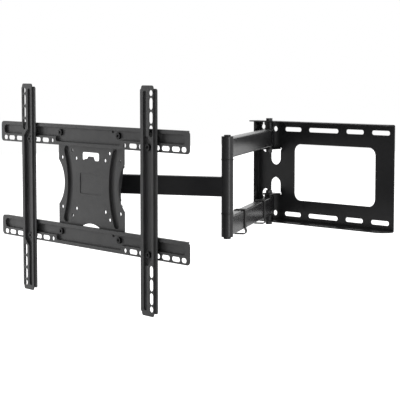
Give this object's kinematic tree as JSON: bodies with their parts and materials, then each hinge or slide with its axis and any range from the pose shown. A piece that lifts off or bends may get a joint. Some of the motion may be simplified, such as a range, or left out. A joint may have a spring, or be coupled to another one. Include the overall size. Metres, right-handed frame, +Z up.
{
  "type": "full motion tv wall mount",
  "caption": "Folding wall mount for a flat screen: slotted wall plate, twin swing arms, forearm, swivel and tilt head, rails with slotted upright brackets.",
  "frame": {"origin": "middle of the wall plate's back face, where its two rows of screw slots centre", "axes": "+X right along the wall as seen from the room, +Y into the wall, +Z up"},
  "size_m": [0.6473, 0.5837, 0.428],
  "materials": {
    "black_paint": "satin",
    "arm_paint": "satin",
    "dark_paint": "satin",
    "grey_paint": "satin",
    "black_steel": "satin",
    "black_nylon": "matte"
  },
  "bodies": {
    "wall": {"wall_plate": "black_paint", "wall_pivot_bolts": "black_steel", "wall_pivot_nuts": "black_steel", "wall_spacers": "black_steel", "wall_washers": "black_steel"},
    "arms": {"upper_arm_tube": "arm_paint", "lower_arm_tube": "arm_paint", "upper_wall_sleeve": "black_paint", "lower_wall_sleeve": "black_paint", "wall_bushes": "black_nylon", "upper_knuckle": "black_paint", "lower_knuckle": "black_paint", "knuckle_plugs": "black_steel", "elbow_bolt": "black_steel", "elbow_nut": "black_steel", "elbow_caps": "black_nylon", "inner_cable_clip": "black_nylon", "outer_cable_clip": "black_nylon"},
    "forearm": {"forearm_tube": "dark_paint", "elbow_sleeve": "black_paint", "elbow_bushes": "black_nylon", "swivel_sleeve": "black_paint", "swivel_bushes": "black_nylon"},
    "yoke": {"swivel_yoke": "dark_paint", "swivel_bolt": "black_steel", "swivel_nut": "black_steel", "tilt_bolt": "black_steel", "tilt_nut": "black_steel", "tilt_lock_bolt": "black_steel", "tilt_washers": "black_steel", "tilt_knob": "black_nylon"},
    "screen_head": {"centre_plate": "grey_paint", "tilt_bracket": "dark_paint", "upper_rail": "grey_paint", "lower_rail": "grey_paint", "left_bracket": "grey_paint", "right_bracket": "grey_paint", "rail_bolts": "black_steel", "rail_nuts": "black_steel", "bracket_bolts": "black_steel", "bracket_nuts": "black_steel"}
  },
  "joints": [
    {"name": "wall_swivel", "type": "hinge", "parent": "wall", "child": "arms", "pos_m": [-0.139, -0.024, 0], "axis": [0, 0, 1], "range_deg": [-110, 50]},
    {"name": "elbow", "type": "hinge", "parent": "arms", "child": "forearm", "pos_m": [0.08675, -0.38527, 0], "axis": [0, 0, 1], "range_deg": [-40, 90]},
    {"name": "screen_swivel", "type": "hinge", "parent": "forearm", "child": "yoke", "pos_m": [-0.12717, -0.4896, 0], "axis": [0, 0, 1], "range_deg": [-40, 30]},
    {"name": "screen_tilt", "type": "hinge", "parent": "yoke", "child": "screen_head", "pos_m": [-0.13004, -0.51946, 0], "axis": [0.9954, -0.0958, 0], "range_deg": [-5, 15]}
  ]
}
